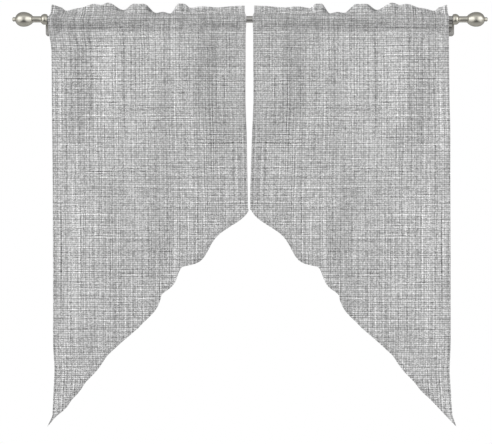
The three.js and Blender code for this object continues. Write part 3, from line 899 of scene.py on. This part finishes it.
class Nodes:
    """Short ways to write the node tree of a material or of the world."""

    def __init__(self, owner):
        owner.use_nodes = True
        self.tree = owner.node_tree

    def add(self, kind, inputs=None, **settings):
        node = self.tree.nodes.new(kind)
        for key, value in settings.items():
            setattr(node, key, value)
        for key, value in (inputs or {}).items():
            self.put(node.inputs[key], value)
        return node

    def put(self, socket, value):
        if isinstance(value, bpy.types.NodeSocket):
            self.tree.links.new(value, socket)
        else:
            socket.default_value = value

    def math(self, operation, a, b=0.0, c=0.0):
        return self.add("ShaderNodeMath", {0: a, 1: b, 2: c}, operation=operation).outputs[0]

    def total(self, first, *others):
        for other in others:
            first = self.math("ADD", first, other)
        return first

    def product(self, first, *others):
        for other in others:
            first = self.math("MULTIPLY", first, other)
        return first

    def about_zero(self, value, span):
        """Turns a value from 0 to 1 into one that spans as much, half of it below zero."""
        return self.math("MULTIPLY_ADD", value, span, -span / 2)

    def plane(self, x, y):
        return self.add("ShaderNodeCombineXYZ", {0: x, 1: y}).outputs[0]

    def grey(self, value):
        return self.add("ShaderNodeCombineColor", {0: value, 1: value, 2: value}).outputs[0]

    def noise(self, vector, scale=1.0, detail=0.0, roughness=0.5):
        inputs = {"Vector": vector, "Scale": scale, "Detail": detail, "Roughness": roughness}
        return self.add("ShaderNodeTexNoise", inputs).outputs["Fac"]

    def bump(self, height, distance, strength):
        inputs = {"Height": height, "Distance": distance, "Strength": strength}
        return self.add("ShaderNodeBump", inputs).outputs[0]

    def set(self, **values):
        for name, value in values.items():
            shader = self.tree.nodes["Principled BSDF"]
            self.put(shader.inputs[name.replace("_", " ")], value)


def linen_material(name, sheerness, through_gain, through_least):
    """Open plain weave of uneven grey yarns, slightly sheer, laid out on the flat cloth."""
    weft_pitch, warp_pitch = 0.0028, 0.0031
    wander_scale, wander, uneven_scale, uneven_rows, uneven_columns = 9.0, 0.8, 80.0, 0.9, 1.6
    weft_change, warp_change, neighbour, against_neighbour = 4.0, 2.2, 7.31, -0.6
    over_under, top_yarn, under_yarn, contrast, mean_tone = 0.35, 0.7, 0.3, 2.8, 0.525

    material = bpy.data.materials.new(name)
    n = Nodes(material)
    uv = n.add("ShaderNodeUVMap", uv_map="cloth").outputs[0]
    u, v = n.add("ShaderNodeSeparateXYZ", {0: uv}).outputs[:2]

    # Yarns wander a little and are not all as thick as each other.
    strays = n.about_zero(n.noise(uv, wander_scale, 1.0), wander)
    row_strays = n.about_zero(n.noise(n.plane(3.0, v), uneven_scale), uneven_rows)
    column_strays = n.about_zero(n.noise(n.plane(u, 9.0), uneven_scale), uneven_columns)
    rows = n.total(n.math("DIVIDE", v, weft_pitch), strays, row_strays)
    columns = n.total(n.math("DIVIDE", u, warp_pitch), strays, column_strays)

    def ridge(yarns):
        """Where a point is across its yarn: 1 on its middle, 0 between two."""
        return n.math("SINE", n.product(n.math("FRACT", yarns), math.pi))

    def yarn_shade(yarn, along, start):
        """A yarn's own shade about 0, which changes slowly along it, against its neighbour's."""
        def tone(offset):
            far = n.math("MULTIPLY_ADD", yarn, neighbour, start + offset)
            return n.noise(n.plane(along, far), 1.0, 2.0, 0.7)
        difference = n.math("MULTIPLY_ADD", tone(-neighbour), against_neighbour, tone(0.0))
        return n.total(difference, -(1 + against_neighbour) / 2)

    row, column = n.math("FLOOR", rows), n.math("FLOOR", columns)
    weft_shade = yarn_shade(row, n.product(u, weft_change), 0.4)
    warp_shade = yarn_shade(column, n.product(v, warp_change), 0.7)
    crossing = n.add("ShaderNodeTexWhiteNoise", {0: n.plane(row, column)}, noise_dimensions="2D")

    # Over and under: each yarn is a round ridge that rises at every second crossing.
    parity = n.math("MODULO", n.math("ABSOLUTE", n.total(row, column)), 2.0)
    sign = n.math("MULTIPLY_ADD", parity, -2.0, 1.0)
    arch_row, arch_column = ridge(rows), ridge(columns)
    weft_height = n.total(arch_row, n.product(sign, arch_column, over_under))
    warp_height = n.total(arch_column, n.product(sign, arch_row, -over_under))
    height = n.math("MAXIMUM", weft_height, warp_height)
    weft_on_top = n.math("GREATER_THAN", weft_height, warp_height)

    weft_share = n.math("MULTIPLY_ADD", weft_on_top, top_yarn - under_yarn, under_yarn)
    warp_share = n.math("SUBTRACT", 1.0, weft_share)
    weft_part = n.product(weft_shade, weft_share, contrast)
    warp_part = n.product(warp_shade, warp_share, contrast)
    crossings = n.math("MULTIPLY_ADD", crossing.outputs[0], 0.6, 0.7)
    shade = n.total(weft_part, warp_part, crossings)
    # The yarns lie in pairs, with a wider gap after each second one: a shade about 1.
    pair_rows = n.math("MULTIPLY_ADD", ridge(n.product(rows, 0.5)), 0.48, 0.69)
    pair_columns = n.math("MULTIPLY_ADD", ridge(n.product(columns, 0.5)), 0.22, 0.86)
    tone = n.product(shade, n.product(pair_rows, pair_columns), mean_tone)
    through = n.grey(n.math("MULTIPLY_ADD", tone, through_gain, through_least))

    fibres = n.noise(n.plane(n.product(u, 900.0), n.product(v, 2600.0)), 1.0, 2.0)
    bump = n.bump(n.math("MULTIPLY_ADD", fibres, 0.12, height), 0.0004, 0.3)
    n.set(Base_Color=n.grey(tone), Roughness=0.92, Normal=bump)
    n.set(Sheen_Weight=0.08, Sheen_Roughness=0.6, Specular_IOR_Level=0.15)
    glow = n.add("ShaderNodeBsdfTranslucent", {"Color": through}).outputs[0]
    surface = n.tree.nodes["Principled BSDF"].outputs[0]
    sheer = n.add("ShaderNodeMixShader", {0: sheerness, 1: surface, 2: glow})
    n.put(n.tree.nodes["Material Output"].inputs["Surface"], sheer.outputs[0])
    return material


def thread_material():
    """Sewing thread, a little lighter than the cloth, with a twist."""
    material = bpy.data.materials.new("sewing_thread")
    n = Nodes(material)
    twist = n.noise(n.add("ShaderNodeTexCoord").outputs["Object"], 1800.0, 1.0)
    colour = n.grey(n.math("MULTIPLY_ADD", twist, 0.2, 0.48))
    bump = n.bump(twist, 0.0001, 0.4)
    n.set(Base_Color=colour, Roughness=0.6, Normal=bump, Specular_IOR_Level=0.3)
    return material


def nickel_material(name, light, dark, rim):
    """Satin nickel between two tints, darker at grazing angles, brushed round the rod."""
    material = bpy.data.materials.new(name)
    n = Nodes(material)
    place = n.add("ShaderNodeTexCoord").outputs["Object"]
    cloudy = n.noise(place, 60.0, 3.0)
    colour = n.add("ShaderNodeMix", {0: cloudy}, data_type="RGBA")
    n.put(colour.inputs[6], (*light, 1.0))
    n.put(colour.inputs[7], (*dark, 1.0))
    x, _, z = n.add("ShaderNodeSeparateXYZ", {0: place}).outputs
    bump = n.bump(n.noise(n.plane(n.product(x, 9000.0), z), 1.0, 2.0), 0.00003, 0.3)
    rough = n.math("MULTIPLY_ADD", cloudy, 0.1, 0.13)
    n.set(Base_Color=colour.outputs[2], Roughness=rough, Normal=bump, Metallic=1.0)
    n.set(Specular_Tint=(rim, rim, rim, 1.0))
    return material


# ---------------------------------------------------------------- studio
# What metal mirrors round the rod: degrees above the level way towards the room, which go
# on over the top to the wall behind, or below it if negative, and how bright it is there.
STUDIO_IN_METAL = [
    (-180, 0.62), (-135, 0.60), (-105, 0.50), (-80, 0.50), (-60, 0.38), (-42, 0.16),
    (-27, 0.12), (-10, 0.38), (4, 0.76), (22, 0.94), (40, 0.84), (60, 0.56),
    (85, 0.44), (112, 0.40), (140, 0.50), (180, 0.62),
]
# Soft boxes at the sides and the dark place between them where the camera stands: degrees
# to the right of it, degrees above it, reach in degrees, and what each adds.
SOFT_BOXES = [(-46, 0, 50, 1.0), (46, 0, 50, 1.0), (0, 12, 26, -0.3)]
# Each lamp's name, direction, strength, and spread in degrees.
LAMPS = [
    ("key", (-0.70, -0.58, 0.34), 3.7, 40),
    ("fill", (0.32, -0.82, -0.46), 0.60, 60),
    ("behind", (0.55, 0.78, 0.30), 1.1, 50),
]


def world(soft_strength=0.25):
    """White for the camera, soft light all round, and brighter above than below in metal."""
    sky = bpy.data.worlds.new("studio")
    bpy.context.scene.world = sky
    n = Nodes(sky)
    n.tree.nodes.clear()

    path = n.add("ShaderNodeLightPath").outputs
    direction = n.add("ShaderNodeTexCoord").outputs["Generated"]
    way = n.add("ShaderNodeSeparateXYZ", {0: direction}).outputs
    turn = n.math("ARCTAN2", way[2], n.product(way[1], -1.0))
    limits = {"Value": turn, "From Min": -math.pi, "From Max": math.pi}
    ring = n.add("ShaderNodeValToRGB", {0: n.add("ShaderNodeMapRange", limits).outputs[0]})
    ring.color_ramp.interpolation = "EASE"
    stops = ring.color_ramp.elements
    for degrees, grey in STUDIO_IN_METAL:
        place = (degrees + 180) / 360
        stop = stops[0] if degrees == STUDIO_IN_METAL[0][0] else stops.new(place)
        stop.position = place
        stop.color = (grey, grey, grey, 1.0)
    stops.remove(stops[-1])

    shown = ring.outputs[0]
    for right, above, reach, change in SOFT_BOXES:
        right, above = math.radians(right), math.radians(above)
        level = math.cos(above)
        middle = (math.sin(right) * level, -math.cos(right) * level, math.sin(above))
        facing = n.add("ShaderNodeVectorMath", {0: direction, 1: middle}, operation="DOT_PRODUCT")
        box = n.add("ShaderNodeMapRange", {
            "Value": facing.outputs["Value"], "To Max": change,
            "From Min": math.cos(math.radians(reach)), "From Max": 1.0,
        }, interpolation_type="SMOOTHSTEP")
        shown = n.total(shown, box.outputs[0])

    def light(strength):
        inputs = {"Color": (1, 1, 1, 1), "Strength": strength}
        return n.add("ShaderNodeBackground", inputs).outputs[0]

    mirror = n.math("MAXIMUM", path["Is Glossy Ray"], path["Is Transmission Ray"])
    lit = n.add("ShaderNodeMixShader", {0: mirror, 1: light(soft_strength), 2: light(shown)})
    seen = n.add("ShaderNodeMixShader", {
        0: path["Is Camera Ray"], 1: lit.outputs[0], 2: light(1.0),
    })
    n.add("ShaderNodeOutputWorld", {"Surface": seen.outputs[0]})


def soft_light(name, toward, strength, spread):
    """A broad lamp far away in one direction, spread over an angle in degrees.

    Metal mirrors the world's soft light in place of the lamps."""
    light = bpy.data.lights.new(name, "SUN")
    light.energy = strength
    light.angle = math.radians(spread)
    lamp = bpy.data.objects.new(name, light)
    lamp.visible_glossy = False
    lamp.rotation_euler = (-Vector(toward)).to_track_quat("-Z", "Y").to_euler()
    bpy.context.scene.collection.objects.link(lamp)


def floor():
    """A plain pale round floor well below the tails."""
    radius, sides, height = 2.0, 96, CAD_BOX[0][2] - 0.9
    turn = 2 * np.pi * np.arange(sides) / sides
    points = [(radius * math.cos(t), radius * math.sin(t), height) for t in turn]
    ground = mesh_object("pale_floor", points, [list(range(sides))])
    pale = bpy.data.materials.new("pale_floor")
    Nodes(pale).set(Base_Color=(0.8, 0.8, 0.8, 1), Roughness=0.9)
    ground.data.materials.append(pale)
    ground.visible_glossy = False


def camera():
    """Level with the middle of the cloth and square to it, far enough to look flat."""
    width_in_view, distance = 1.3284, 5.0
    aim = Vector((-0.0108, -0.084, -0.5476))
    lens = bpy.data.cameras.new("camera")
    lens.sensor_width = 36.0
    lens.lens = lens.sensor_width * distance / width_in_view
    view = bpy.data.objects.new("camera", lens)
    view.location = aim - Vector((0, distance, 0))
    view.rotation_euler = (math.pi / 2, 0, 0)
    bpy.context.scene.collection.objects.link(view)
    bpy.context.scene.camera = view


# ---------------------------------------------------------------- assembly
camera()
world()
for lamp in LAMPS:
    soft_light(*lamp)
floor()

linens = [linen_material(*settings) for settings in LINENS]
thread = thread_material()
rod_nickel, turned_nickel, bracket_nickel_painted_shade = [nickel_material(*settings) for settings in NICKELS]
rod(rod_nickel)
for panel in PANELS:
    valance(panel, *linens, thread)
for word, side in (("left", -1), ("right", 1)):
    finial(word, side, turned_nickel)
    bracket_strap(word, side, bracket_nickel_painted_shade)
    bracket_plate(word, side, bracket_nickel_painted_shade)

bpy.context.scene.view_settings.view_transform = "Standard"
